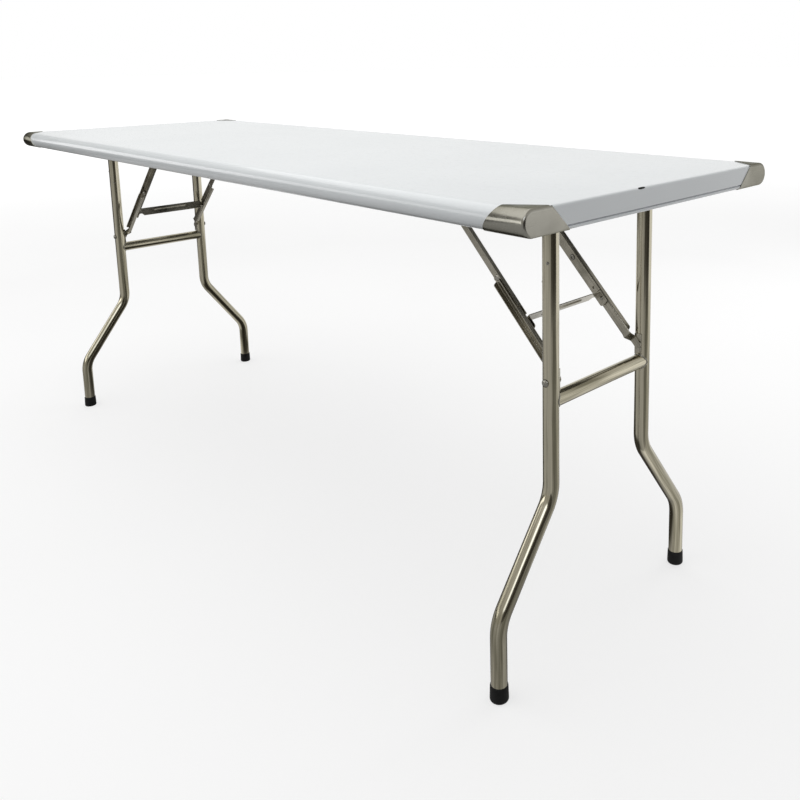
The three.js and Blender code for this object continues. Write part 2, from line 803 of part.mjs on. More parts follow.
function placed(x, z, turn) {
  const group = new THREE.Group();
  group.position.set(x, 0, z);
  group.rotation.y = turn;
  return group;
}

const shapes = {
  corner_cap: [geometryOf(cornerCap()), 'cap'],
  hinge_bracket: [geometryOf(hingeBracket()), 'bracket'],
  hinge_pin: [geometryOf(hingePin()), 'pin'],
  brace_bracket: [geometryOf(braceBracket()), 'bracket'],
  brace_pin: [geometryOf(bracePin()), 'pin'],
  leg: [geometryOf(legTube()), 'tube'],
  foot: [geometryOf(rubberFoot()), 'rubber'],
  leg_saddle: [geometryOf(saddle()), 'link'],
  brace_bolt: [geometryOf(braceBolt()), 'pin'],
  upper_link: [geometryOf(upperLink()), 'link'],
  lower_link: [geometryOf(lowerLink()), 'link'],
  knuckle_rivet: [geometryOf(knuckleRivet()), 'pin'],
};
const fixedPieces = ['corner_cap', 'hinge_bracket', 'hinge_pin', 'brace_bracket', 'brace_pin'];
const legPieces = ['leg', 'foot', 'leg_saddle', 'brace_bolt'];
const crossbarGeometry = geometryOf(legCrossbar());
const tieGeometry = geometryOf(braceTie());

// One end of the table; its pieces are drawn at the near end
function tableEnd(endName, backName, frontName) {
  const group = new THREE.Group();
  const addPair = (parent, kind) => {
    const [geometry, finish] = shapes[kind];
    parent.add(piece(`${kind}_${endName}_${backName}`, geometry, finish));
    parent.add(piece(`${kind}_${endName}_${frontName}`, mirrored(geometry), finish));
  };
  for (const kind of [...fixedPieces, ...legPieces]) addPair(group, kind);
  group.add(piece(`leg_crossbar_${endName}`, crossbarGeometry, 'tube'));
  const upper = placed(braceTopX, braceTopHeight, braceAngle);
  const knuckle = placed(upperLinkLength, 0, 0);
  addPair(upper, 'upper_link');
  addPair(knuckle, 'knuckle_rivet');
  addPair(knuckle, 'lower_link');
  knuckle.add(piece(`brace_tie_${endName}`, tieGeometry, 'link'));
  upper.add(knuckle);
  group.add(upper);
  return group;
}

const table = new THREE.Group();
table.add(piece('top_sheet', geometryOf(topSheet()), 'sheet'));
table.add(piece('rail_back', geometryOf(hatRail(sideRailOffset, sideRailWidth, railDepth)), 'rail'));
table.add(piece('rail_front', geometryOf(hatRail(-sideRailOffset, sideRailWidth, railDepth)), 'rail'));
table.add(piece('rail_centre', geometryOf(hatRail(0, centreRailWidth, centreRailDepth)), 'rail'));
table.add(tableEnd('near', 'back', 'front'));
const farEnd = tableEnd('far', 'front', 'back');
farEnd.rotation.z = Math.PI;
table.add(farEnd);

export default table;
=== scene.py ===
import math

import bmesh
import bpy
from mathutils import Matrix, Vector


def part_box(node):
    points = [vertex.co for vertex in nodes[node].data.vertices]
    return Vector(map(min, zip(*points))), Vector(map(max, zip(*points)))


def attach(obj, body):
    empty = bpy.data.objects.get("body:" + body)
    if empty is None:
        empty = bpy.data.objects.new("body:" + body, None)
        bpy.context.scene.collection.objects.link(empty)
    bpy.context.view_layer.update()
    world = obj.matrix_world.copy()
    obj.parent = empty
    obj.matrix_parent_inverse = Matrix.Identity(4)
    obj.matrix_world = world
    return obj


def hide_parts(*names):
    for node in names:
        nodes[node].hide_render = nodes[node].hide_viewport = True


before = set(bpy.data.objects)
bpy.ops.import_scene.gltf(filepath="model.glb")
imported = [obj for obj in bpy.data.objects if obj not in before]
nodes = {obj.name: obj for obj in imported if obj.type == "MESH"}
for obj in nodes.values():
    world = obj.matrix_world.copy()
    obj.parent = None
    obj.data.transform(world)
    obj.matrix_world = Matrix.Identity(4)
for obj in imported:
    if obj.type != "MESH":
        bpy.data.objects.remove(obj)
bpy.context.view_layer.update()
scene = bpy.context.scene
print("frame loaded:", len(nodes), "nodes")

# Sizes that several pieces share, in metres, in the frame of the CAD model
table = {"length": 1.829, "width": 0.610, "height": 0.762, "depth": 0.038}
halfLength = table["length"] / 2
halfWidth = table["width"] / 2
edgeRadius = table["depth"] / 2
edgeMiddle = table["height"] - edgeRadius
endSigns = {"near": 1, "far": -1}
sideSigns = {"back": 1, "front": -1}
quarterTurn = math.radians(90)
mergeWithin = 2e-6


# Node trees
def feed(tree, node, inputs):
    for name, value in inputs.items():
        socket = node.inputs[name]
        if isinstance(value, bpy.types.NodeSocket):
            tree.links.new(value, socket)
        else:
            socket.default_value = value


def addNode(tree, kind, inputs=None, **settings):
    node = tree.nodes.new(kind)
    for name, value in settings.items():
        setattr(node, name, value)
    feed(tree, node, inputs or {})
    return node


def shading(tree, kind, inputs=None, **settings):
    return addNode(tree, "ShaderNode" + kind, inputs, **settings).outputs[0]


def maths(tree, operation, *values, clamp=False):
    return shading(tree, "Math", dict(enumerate(values)), operation=operation, use_clamp=clamp)


def vectors(tree, operation, *values):
    node = addNode(tree, "ShaderNodeVectorMath", dict(enumerate(values)), operation=operation)
    return node.outputs["Value" if operation in ("LENGTH", "DOT_PRODUCT") else "Vector"]


def newFinish(name):
    material = bpy.data.materials.new(name)
    material.use_nodes = True
    tree = material.node_tree
    tree.nodes.clear()
    shader = addNode(tree, "ShaderNodeBsdfPrincipled")
    addNode(tree, "ShaderNodeOutputMaterial", {"Surface": shader.outputs["BSDF"]})
    return material, tree, shader


def pattern(tree, scale=(1, 1, 1), turn=None, place=None):
    if place is None:
        place = addNode(tree, "ShaderNodeTexCoord").outputs["Object"]
    if turn is not None:
        place = shading(tree, "Mapping", {"Vector": place, "Rotation": turn})
    return shading(tree, "Mapping", {"Vector": place, "Scale": scale})


def cloudy(tree, place, scale, detail=4.0, roughness=0.55):
    return shading(tree, "TexNoise", {
        "Vector": place, "Scale": scale, "Detail": detail, "Roughness": roughness})


def ramp(tree, factor, stops):
    node = addNode(tree, "ShaderNodeValToRGB", {"Fac": factor})
    for element, (at, colour) in zip(node.color_ramp.elements, stops):
        element.position = at
        element.color = (*colour, 1)
    return node.outputs["Color"]


def spread(tree, factor, low, high, fromLow=0.25, fromHigh=0.75):
    return shading(tree, "MapRange", {
        "Value": factor, "From Min": fromLow, "From Max": fromHigh, "To Min": low, "To Max": high})


def mixed(tree, factor, first, second):
    first, second = (value if isinstance(value, bpy.types.NodeSocket) else (*value, 1)
                     for value in (first, second))
    return addNode(tree, "ShaderNodeMix", {0: factor, 6: first, 7: second}, data_type="RGBA").outputs[2]


def bumpy(tree, *heights):
    inputs = {}
    for height, strength, distance in heights:
        inputs.update({"Height": height, "Strength": strength, "Distance": distance})
        inputs["Normal"] = shading(tree, "Bump", inputs)
    return inputs["Normal"]


# Finishes
# The crease colour is painted shade, laid along the pressed groove in the end skirts
paleSheet = {
    "colour": (0.785, 0.812, 0.825), "shade": (0.74, 0.77, 0.785), "streak": (0.66, 0.69, 0.70),
    "crease": (0.34, 0.36, 0.39), "inner": (0.30, 0.295, 0.27), "roughness": 0.30,
    "coat": 0.6, "coatRoughness": 0.08,
}
steelTube = {
    "light": (0.62, 0.575, 0.445), "dark": (0.25, 0.23, 0.16), "scratch": (0.10, 0.09, 0.075),
    "roughness": 0.12, "drawn": 0.03, "scratchDrawn": 0.004,
}
pressedSteel = {"light": (0.48, 0.45, 0.375), "dark": (0.24, 0.225, 0.18), "roughness": 0.24}
cornerSteel = {
    "light": (0.335, 0.325, 0.285), "dark": (0.265, 0.255, 0.22), "rim": (0.42, 0.42, 0.38),
    "roughness": 0.20,
}
pinSteel = {"light": (0.40, 0.385, 0.34), "dark": (0.21, 0.20, 0.175), "roughness": 0.24}
zincRail = {"light": (0.46, 0.47, 0.48), "dark": (0.31, 0.32, 0.33), "roughness": 0.42}
blackRubber = {
    "light": (0.011, 0.011, 0.011), "dark": (0.004, 0.004, 0.004), "roughness": 0.55, "shine": 0.20,
}


def paleSheetFinish():
    look = paleSheet
    material, tree, shader = newFinish("paleSheetFinish")
    broad = cloudy(tree, pattern(tree), 3.0, 3.0)
    grain = cloudy(tree, pattern(tree, (6, 260, 260)), 9.0, 3.0)
    specks = cloudy(tree, pattern(tree), 140.0, 2.0)
    colour = ramp(tree, broad, [(0.35, look["shade"]), (0.65, look["colour"])])
    colour = mixed(tree, spread(tree, grain, 0.0, 0.10), colour, look["streak"])
    # The groove's mark paints shade into the pressed groove; the inner mark gives the bare underside its
    # tone
    for name in ("crease", "inner"):
        mark = addNode(tree, "ShaderNodeAttribute", attribute_name=name).outputs["Fac"]
        colour = mixed(tree, mark, colour, look[name])
    feed(tree, shader, {
        "Base Color": colour,
        "Roughness": spread(tree, grain, look["roughness"] - 0.05, look["roughness"] + 0.07),
        "Coat Weight": look["coat"], "Coat Roughness": look["coatRoughness"],
        "Normal": bumpy(tree, (grain, 0.02, 0.0002), (specks, 0.04, 0.0003)),
    })
    return material


def brushedFinish(name, look, grainScale, turn=None, contrast=0.35, relief=0.10):
    material, tree, shader = newFinish(name)
    broad = cloudy(tree, pattern(tree), 18.0, 3.0)
    grain = cloudy(tree, pattern(tree, grainScale, turn), 1.0, 4.0, 0.65)
    colour = ramp(tree, broad, [(0.30, look["dark"]), (0.62, look["light"])])
    streak = [value * 0.55 for value in look["dark"]]
    colour = mixed(tree, spread(tree, grain, contrast, 0.0, 0.38, 0.62), colour, streak)
    feed(tree, shader, {
        "Base Color": colour, "Metallic": 1.0, "Specular Tint": (*look.get("rim", (1, 1, 1)), 1),
        "Roughness": spread(tree, grain, look["roughness"] - 0.06, look["roughness"] + 0.10),
        "Normal": bumpy(tree, (grain, relief, 0.0002), (broad, relief * 0.4, 0.0006)),
    })
    return material


# Drawn tube: a bent leg's marks follow its own length, and a crossbar's run along Y
def tubeFinish(name, bent):
    look = steelTube
    material, tree, shader = newFinish(name)
    place = None
    if bent:
        place = addNode(tree, "ShaderNodeAttribute", attribute_name="straightPlace").outputs["Vector"]
    wideScale, fineScale = [(1, 1, look[name]) if bent else (1, look[name], 1)
                            for name in ("drawn", "scratchDrawn")]
    wide = cloudy(tree, pattern(tree, wideScale, place=place), 120.0, 3.0, 0.6)
    fine = cloudy(tree, pattern(tree, fineScale, place=place), 900.0, 3.0, 0.7)
    colour = ramp(tree, wide, [(0.38, look["dark"]), (0.56, look["light"])])
    colour = mixed(tree, spread(tree, fine, 0.30, 0.0, 0.40, 0.62), colour, look["scratch"])
    feed(tree, shader, {
        "Base Color": colour, "Metallic": 1.0,
        "Roughness": spread(tree, wide, look["roughness"] + 0.08, look["roughness"] - 0.03),
        "Normal": bumpy(tree, (fine, 0.06, 0.0002), (wide, 0.05, 0.0008)),
    })
    return material


def rubberFinish():
    look = blackRubber
    material, tree, shader = newFinish("rubberFinish")
    broad = cloudy(tree, pattern(tree), 60.0, 4.0)
    fine = cloudy(tree, pattern(tree), 900.0, 3.0)
    feed(tree, shader, {
        "Base Color": ramp(tree, broad, [(0.35, look["dark"]), (0.68, look["light"])]),
        "Roughness": spread(tree, broad, look["roughness"] - 0.1, look["roughness"] + 0.12),
        "Specular IOR Level": look["shine"],
        "Normal": bumpy(tree, (fine, 0.22, 0.0003), (broad, 0.08, 0.0006)),
    })
    return material


finishes = {
    "paleSheet": paleSheetFinish(),
    "legTube": tubeFinish("legTubeFinish", True),
    "crossTube": tubeFinish("crossTubeFinish", False),
    "cap": brushedFinish("cornerCapFinish", cornerSteel, (300, 8, 300), contrast=0.06, relief=0.004),
    "rail": brushedFinish("zincRailFinish", zincRail, (8, 320, 320), contrast=0.2),
    "bracket": brushedFinish("bracketFinish", pressedSteel, (260, 260, 24), contrast=0.2, relief=0.05),
    **{f"link{name.title()}": brushedFinish(f"{name}LinkFinish", pressedSteel, (14, 340, 340),
                                            (0, -sign * math.radians(45), 0), relief=0.07)
       for name, sign in endSigns.items()},
    "tie": brushedFinish("tieFinish", pressedSteel, (340, 14, 340)),
    "pin": brushedFinish("pinFinish", pinSteel, (300, 60, 300), contrast=0.3),
    "rubber": rubberFinish(),
}
print("finishes made:", len(finishes))


# Meshes
def settle(mesh, smoothAngle=32):
    mesh.shade_smooth()
    mesh.set_sharp_from_angle(angle=math.radians(smoothAngle))


def meshFrom(bm, name):
    mesh = bpy.data.meshes.new(name)
    bm.to_mesh(mesh)
    bm.free()
    return mesh


def addObject(name, data):
    added = bpy.data.objects.new(name, data)
    scene.collection.objects.link(added)
    return added


# For an open shell, outward gives the way out at a place on it
def makePiece(name, bm, finish, smoothAngle=32, outward=None):
    bmesh.ops.remove_doubles(bm, verts=bm.verts, dist=mergeWithin)
    bmesh.ops.recalc_face_normals(bm, faces=bm.faces)
    if outward is not None:
        away = sum(face.normal.dot(outward(face.calc_center_median())) * face.calc_area()
                   for face in bm.faces)
        if away < 0:
            bmesh.ops.reverse_faces(bm, faces=bm.faces)
    mesh = meshFrom(bm, name)
    mesh.materials.append(finishes[finish])
    settle(mesh, smoothAngle)
    return addObject(name, mesh)


def bakeModifiers(piece):
    bpy.context.view_layer.update()
    graph = bpy.context.evaluated_depsgraph_get()
    baked = bpy.data.meshes.new_from_object(piece.evaluated_get(graph))
    piece.modifiers.clear()
    old = piece.data
    piece.data = baked
    bpy.data.meshes.remove(old)
    baked.name = piece.name
    settle(baked)


def easeEdges(piece, width, fromAngle):
    bevel = piece.modifiers.new("edge", "BEVEL")
    bevel.width = width
    bevel.segments = 2
    bevel.limit_method = "ANGLE"
    bevel.angle_limit = math.radians(fromAngle)


def giveWall(piece, thickness, edge=0.0):
    wall = piece.modifiers.new("wall", "SOLIDIFY")
    wall.thickness = thickness
    wall.offset = -1
    wall.use_even_offset = True
    if edge:
        easeEdges(piece, edge, 50)
    bakeModifiers(piece)


def bridgeRings(bm, rings, closed=True):
    for low, high in zip(rings, rings[1:]):
        count = len(low)
        for i in range(count if closed else count - 1):
            j = (i + 1) % count
            bm.faces.new((low[i], low[j], high[j], high[i]))


def fillTube(bm, rings):
    bridgeRings(bm, rings)
    bm.faces.new(rings[0])
    bm.faces.new(rings[-1])


def spaced(start, end, count):
    return [start + (end - start) * i / (count - 1) for i in range(count)]


def circle(radius, sides):
    turns = [2 * math.pi * i / sides for i in range(sides)]
    return [(radius * math.cos(turn), radius * math.sin(turn)) for turn in turns]


def spinProfile(bm, profile, sides, centre=(0, 0, 0), turn=Matrix.Identity(3)):
    fillTube(bm, [[bm.verts.new(turn @ Vector((x, y, height)) + Vector(centre))
                   for x, y in circle(radius, sides)] for radius, height in profile])


# Stations over a rounded edge: how far out, and how far the section is inset
def roundedEdge(end, radius, steps):
    turns = [quarterTurn * step / steps for step in range(steps + 1)]
    return [(end - radius + radius * math.sin(turn), radius * (1 - math.cos(turn))) for turn in turns]


def removeRegion(bm, planes):
    for point, away in planes:
        bmesh.ops.bisect_plane(bm, geom=bm.verts[:] + bm.edges[:] + bm.faces[:], dist=1e-7,
                               plane_co=point, plane_no=away)
    inside = [face for face in bm.faces
              if all((face.calc_center_median() - Vector(point)).dot(Vector(away)) > 0
                     for point, away in planes)]
    bmesh.ops.delete(bm, geom=inside, context="FACES")


# Worktop sheet. grooveRows and grooveReach are in half widths of the groove
topSheet = {
    "inset": 0.0011, "thickness": 0.0012, "endBend": 0.003, "bendSteps": 6, "edgeStep": 5,
    "edgeReturn": 0.018, "skirtReturn": 0.016, "rim": 0.0006, "grooveHeight": 0.7307,
    "grooveHalf": 0.0008, "grooveDepth": 0.0011, "grooveRows": (-1.6, -1, 1, 1.6), "grooveReach": 1.3,
}


def edgeArc(inset, angles):
    radius = edgeRadius - inset
    reach = halfWidth - inset - radius
    return [(reach + radius * math.cos(a), edgeMiddle + radius * math.sin(a)) for a in angles]


def makeTopSheet():
    size = topSheet
    rows = [math.radians(a) for a in range(-90, 91, size["edgeStep"])]
    for place in size["grooveRows"]:
        z = size["grooveHeight"] + size["grooveHalf"] * place
        rows.append(math.asin((z - edgeMiddle) / (edgeRadius - size["rim"])))
    rows.sort()
    outerEnd = halfLength - size["inset"]
    returnLine = halfWidth - edgeRadius - size["edgeReturn"]
    underside = edgeMiddle - edgeRadius + size["inset"]
    stations = [(outerEnd - size["skirtReturn"], 0)]
    stations += roundedEdge(outerEnd, size["endBend"], size["bendSteps"])
    stations = [(-x, inset) for x, inset in reversed(stations)] + stations
    bm = bmesh.new()
    crease = bm.verts.layers.float.new("crease")
    rings = []
    for x, inset in stations:
        ring = edgeArc(size["inset"] + inset, rows)
        ring += [(-y, z) for y, z in reversed(ring)]
        ring += [(y, underside + inset) for y in (-returnLine, returnLine)]
        rings.append([bm.verts.new((x, y, z)) for y, z in ring])
    bridgeRings(bm, rings)
    # End faces in level strips inside a flat rim, with a pressed groove
    half = len(rows)
    for ring in (rings[0], rings[-1]):
        side = math.copysign(1, ring[0].co.x)
        rim = [bm.verts.new((vert.co.x, vert.co.y * (1 - size["rim"] / halfWidth),
                             edgeMiddle + (vert.co.z - edgeMiddle) * (1 - size["rim"] / edgeRadius)))
               for vert in ring]
        bridgeRings(bm, [ring, rim])
        for i in range(half - 1):
            bm.faces.new((rim[i], rim[i + 1], rim[2 * half - 2 - i], rim[2 * half - 1 - i]))
        bm.faces.new((rim[0], rim[2 * half - 1], rim[-2], rim[-1]))
        # The groove's vertices are marked here, and the sheet's finish paints shade along that mark
        for vert in rim:
            away = abs(vert.co.z - size["grooveHeight"]) / size["grooveHalf"]
            if away < size["grooveReach"]:
                vert.co.x -= side * size["grooveDepth"]
                vert[crease] = 1.0
    opening = [face for face in bm.faces
               if (face.calc_center_median() - Vector((0, 0, underside))).length < size["rim"]]
    bmesh.ops.delete(bm, geom=opening, context="FACES")
    piece = makePiece("topSheetSkin", bm, "paleSheet",
                      outward=lambda place: place - Vector((0, 0, edgeMiddle)))
    outer = len(piece.data.vertices)
    giveWall(piece, size["thickness"])
    # The wall's inner vertices come after the outer ones, and are left bare
    inner = piece.data.attributes.new("inner", "FLOAT", "POINT")
    inner.data.foreach_set("value", [float(index >= outer) for index in range(len(piece.data.vertices))])
    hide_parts("top_sheet")
    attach(piece, "top")


# Corner caps: bare shells with slanted edges and a small return below
cornerCaps = {
    "thickness": 0.00105, "edge": 0.0003, "bend": 0.0044, "bendSteps": 8, "edgeSteps": 12,
    "return": 0.014, "returnRise": 0.004, "skin": 0.0012, "edgeAbove": 0.050, "edgeBelow": 0.079,
    "endAbove": 0.052, "endBelow": 0.090, "cornerCut": 0.016, "span": 0.105, "middle": 0.05,
}


def makeCornerCap(endName, sideName):
    size = cornerCaps
    endSign, sideSign = endSigns[endName], sideSigns[sideName]
    rows = spaced(-quarterTurn, quarterTurn, 2 * size["edgeSteps"] + 1)
    stations = [(halfLength - size["span"], 0)]
    stations += roundedEdge(halfLength, size["bend"], size["bendSteps"])
    bm = bmesh.new()
    rings = []
    innerLine = halfWidth - size["span"]
    for x, inset in stations:
        radius = edgeRadius - inset
        ring = [(innerLine, edgeMiddle - radius), *edgeArc(inset, rows), (innerLine, edgeMiddle + radius)]
        rings.append([bm.verts.new((x, y, z)) for y, z in ring])
    bridgeRings(bm, rings, closed=False)
    bm.faces.new(rings[-1])
    top, depth = table["height"], table["depth"]
    edgeLine, endLine = halfLength - size["edgeAbove"], halfWidth - size["endAbove"]
    edgeAway = Vector((-depth, 0, size["edgeBelow"] - size["edgeAbove"])).normalized()
    endAway = Vector((0, -depth, size["endBelow"] - size["endAbove"])).normalized()
    across = Vector((halfLength, endLine, 0)) - Vector((edgeLine, halfWidth - size["cornerCut"], 0))
    cornerAway = Vector((across.y, -across.x, 0))
    removeRegion(bm, [((edgeLine, 0, top), edgeAway)])
    removeRegion(bm, [((0, endLine, top), endAway)])
    removeRegion(bm, [
        ((halfLength - size["return"], 0, 0), (-1, 0, 0)),
        ((0, halfWidth - edgeRadius - size["return"], 0), (0, -1, 0)),
        ((0, 0, top - depth + size["returnRise"]), (0, 0, -1)),
    ])
    removeRegion(bm, [((halfLength, endLine, 0), cornerAway), ((0, 0, top - size["skin"]), (0, 0, 1))])
    if endSign * sideSign < 0:
        bmesh.ops.reverse_faces(bm, faces=bm.faces)
    for vert in bm.verts:
        vert.co.x *= endSign
        vert.co.y *= sideSign
    middle = Vector((endSign * (halfLength - size["middle"]), sideSign * (halfWidth - size["middle"]),
                     edgeMiddle))
    piece = makePiece(f"cornerCap_{endName}_{sideName}", bm, "cap",
                      outward=lambda place: place - middle)
    giveWall(piece, size["thickness"], size["edge"])
    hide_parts(f"corner_cap_{endName}_{sideName}")
    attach(piece, "top")


makeTopSheet()
for endName in endSigns:
    for sideName in sideSigns:
        makeCornerCap(endName, sideName)
print("worktop made")


# Geometry Nodes trees
def startTree(name, **inputs):
    tree = bpy.data.node_groups.new(name, "GeometryNodeTree")
    for label, kind in {"guide": "Geometry", **inputs, "finish": "Material"}.items():
        tree.interface.new_socket(label, in_out="INPUT", socket_type="NodeSocket" + kind)
    tree.interface.new_socket("mesh", in_out="OUTPUT", socket_type="NodeSocketGeometry")
    return tree, addNode(tree, "NodeGroupInput").outputs


def shape(tree, kind, inputs=None, **settings):
    return addNode(tree, "GeometryNode" + kind, inputs, **settings).outputs[0]


def endTree(tree, geometry, given):
    whole = shape(tree, "RealizeInstances", {"Geometry": geometry})
    dressed = shape(tree, "SetMaterial", {"Geometry": whole, "Material": given["finish"]})
    addNode(tree, "NodeGroupOutput", {0: dressed})
    return tree


def stored(tree, geometry, name, value, kind="FLOAT_VECTOR"):
    return shape(tree, "StoreNamedAttribute", {"Geometry": geometry, "Name": name, "Value": value},
                 data_type=kind, domain="POINT")


def recalled(tree, name, kind="FLOAT_VECTOR"):
    return shape(tree, "InputNamedAttribute", {"Name": name}, data_type=kind)


def guideMesh(points, edges=()):
    guide = bpy.data.meshes.new("guide")
    guide.from_pydata(points, edges, [])
    return guide


# The tree's inputs are taken by name from values
def runTree(name, guide, tree, finish, values):
    values = {**values, "finish": finishes[finish]}
    piece = addObject(name, guide)
    modifier = piece.modifiers.new(tree.name, "NODES")
    modifier.node_group = tree
    for item in tree.interface.items_tree:
        if item.in_out == "INPUT" and item.name in values:
            modifier[item.identifier] = values[item.name]
    bakeModifiers(piece)
    return piece


# Leg frames: each leg is a tube swept along a line with two bends
legTubes = {
    "radius": 0.0127, "bendRadius": 0.065, "sides": 56, "bendSteps": 22, "place": 0.797,
    "topSpread": 0.11895, "footSpread": 0.2379, "topEnd": 0.732, "footEnd": 0.0053,
    "upperKink": 0.280035, "lowerKink": 0.123444,
}


def legX(endName):
    return legTubes["place"] * endSigns[endName]


def sweptTubeTree():
    tree, given = startTree("bentTube", radius="Float", bendRadius="Float", sides="Int", bendSteps="Int")
    line = shape(tree, "MeshToCurve", {"Mesh": given["guide"]})
    bent = shape(tree, "FilletCurve", {
        "Curve": line, "Radius": given["bendRadius"], "Count": given["bendSteps"]}, mode="POLY")
    distance = addNode(tree, "GeometryNodeSplineParameter").outputs["Length"]
    measured = stored(tree, bent, "tubeDistance", distance, "FLOAT")
    ring = shape(tree, "CurvePrimitiveCircle", {"Radius": given["radius"], "Resolution": given["sides"]})
    marked = stored(tree, ring, "ringPlace", shape(tree, "InputPosition"))
    swept = shape(tree, "CurveToMesh", {"Curve": measured, "Profile Curve": marked, "Fill Caps": True})
    # The place on the tube as if it were straight, which its finish reads
    ringPlace = recalled(tree, "ringPlace")
    parts = addNode(tree, "ShaderNodeSeparateXYZ", {"Vector": ringPlace}).outputs
    along = recalled(tree, "tubeDistance", "FLOAT")
    straight = shading(tree, "CombineXYZ", {"X": parts["X"], "Y": parts["Y"], "Z": along})
    return endTree(tree, stored(tree, swept, "straightPlace", straight), given)


bentTube = sweptTubeTree()


def makeLeg(endName, sideName):
    size = legTubes
    x, side = legX(endName), sideSigns[sideName]
    corners = [(size["topSpread"], size["topEnd"]), (size["topSpread"], size["upperKink"]),
               (size["footSpread"], size["lowerKink"]), (size["footSpread"], size["footEnd"])]
    line = guideMesh([(x, side * y, z) for y, z in corners], [(0, 1), (1, 2), (2, 3)])
    piece = runTree(f"legTube_{endName}_{sideName}", line, bentTube, "legTube", size)
    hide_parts(f"leg_{endName}_{sideName}")
    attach(piece, f"{endName}_leg_frame")


crossTubes = {"radius": 0.0122, "height": 0.432, "sides": 48}


# How far the coped crossbar reaches at dx beside its middle
def copedReach(dx):
    return legTubes["topSpread"] - math.sqrt(legTubes["radius"] ** 2 - dx ** 2)


def makeCrossTube(endName):
    size = crossTubes
    x = legX(endName)
    bm = bmesh.new()
    fillTube(bm, [[bm.verts.new((x + dx, share * copedReach(dx), size["height"] + dz))
                   for dx, dz in circle(size["radius"], size["sides"])]
                  for share in (-1, -0.5, 0, 0.5, 1)])
    piece = makePiece(f"crossTube_{endName}", bm, "crossTube")
    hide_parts(f"leg_crossbar_{endName}")
    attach(piece, f"{endName}_leg_frame")


# The lip is given as places in from the side and down from the top
rubberFeet = {
    "radius": 0.0145, "height": 0.026, "floor": 0.005, "edge": 0.0034, "edgeSteps": 7, "sides": 56,
    "waist": 0.012, "waistDraw": 0.00024, "draw": 0.0006, "socketGap": 0.0001,
    "lip": ((0, 0.0022), (0.0003, 0.0009), (0.0010, 0.0001)),
}


def makeFoot(endName, sideName):
    size = rubberFeet
    radius, height = size["radius"], size["height"]
    socket = legTubes["radius"] + size["socketGap"]
    profile = roundedEdge(radius, size["edge"], size["edgeSteps"])
    profile += [(radius - size["waistDraw"], size["waist"])]
    profile += [(radius - size["draw"] - inward, height - down) for inward, down in size["lip"]]
    profile += [(socket, height), (socket, size["floor"])]
    bm = bmesh.new()
    centre = (legX(endName), legTubes["footSpread"] * sideSigns[sideName], 0)
    spinProfile(bm, profile, size["sides"], centre)
    piece = makePiece(f"rubberFoot_{endName}_{sideName}", bm, "rubber", smoothAngle=40)
    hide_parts(f"foot_{endName}_{sideName}")
    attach(piece, f"{endName}_leg_frame")


for endName in endSigns:
    makeCrossTube(endName)
    for sideName in sideSigns:
        makeLeg(endName, sideName)
        makeFoot(endName, sideName)
print("leg frames made")


# Places from start through each end in turn, with so many places to a span
def chained(start, *spans):
    places = [start]
    for end, count in spans:
        places += spaced(start, end, count)[1:]
        start = end
    return places


def fraction(value):
    return min(max(value, 0), 1)


def smoothly(share):
    share = fraction(share)
    return share * share * (3 - 2 * share)


# Places that stand closest at start
def bunched(start, reach, steps):
    return [start + reach * (1 - math.cos(quarterTurn * i / steps)) for i in range(steps + 1)]


# Half width of a round end at a distance from its tip
def roundEnd(distance, radius):
    return math.sqrt(max(radius * radius - (radius - min(max(distance, 0), radius)) ** 2, 0))


# Places along a fold's two legs at a distance v past the fold's middle
def bentLine(v, bend):
    quarter = math.pi * bend / 4
    if v <= -quarter:
        return (v + quarter - bend, 0)
    if v >= quarter:
        return (0, v - quarter + bend)
    turn = (v + quarter) / bend
    return (-bend + bend * math.sin(turn), bend - bend * math.cos(turn))


# Folded sheet: a flat blank placed column by column. A square notch in it leaves slivers
def pressSheet(name, columns, marks, low, high, place, outside, wall, finish):
    bm = bmesh.new()
    rows = [[bm.verts.new(place(u, min(max(v, low(u)), high(u)))) for v in marks] for u in columns]
    bridgeRings(bm, rows, closed=False)
    bmesh.ops.remove_doubles(bm, verts=bm.verts, dist=1.5e-5)
    slivers = [face for face in bm.faces if face.calc_area() < 1e-10]
    bmesh.ops.delete(bm, geom=slivers, context="FACES")
    piece = makePiece(name, bm, finish, outward=lambda _: outside)
    giveWall(piece, wall)
    return piece


# Braces at rest: t runs down along the brace from the knuckle, and n runs up, square to it
braces = {"knuckle": (0.665148, 0.594852), "wall": 0.0016, "bend": 0.0026, "upperLength": 0.206685}


def bracePlace(endName, t, n, y):
    share = math.sqrt(0.5)
    x, z = braces["knuckle"]
    return Vector((endSigns[endName] * (x + (t + n) * share), y, z + (n - t) * share))


def drillAcross(piece, centre, radius, half):
    bm = bmesh.new()
    spinProfile(bm, [(radius, -half), (radius, half)], 32)
    bmesh.ops.recalc_face_normals(bm, faces=bm.faces)
    tool = addObject("drill", meshFrom(bm, "drill"))
    tool.matrix_world = Matrix.Translation(centre) @ Matrix.Rotation(quarterTurn, 4, "X")
    cut = piece.modifiers.new("hole", "BOOLEAN")
    cut.operation = "DIFFERENCE"
    cut.solver = "EXACT"
    cut.object = tool
    bakeModifiers(piece)
    bpy.data.objects.remove(tool)


upperLinks = {
    "inner": 0.09245, "outer": 0.10185, "openSide": 0.0085, "webSide": 0.0105, "stop": 0.062,
    "stopCorner": 0.0035, "notch": 0.00001, "end": 0.076, "chamfer": 0.004, "hole": 0.00235,
    "holeSetback": 0.010, "holeRise": 0.0005, "drillHalf": 0.006,
}


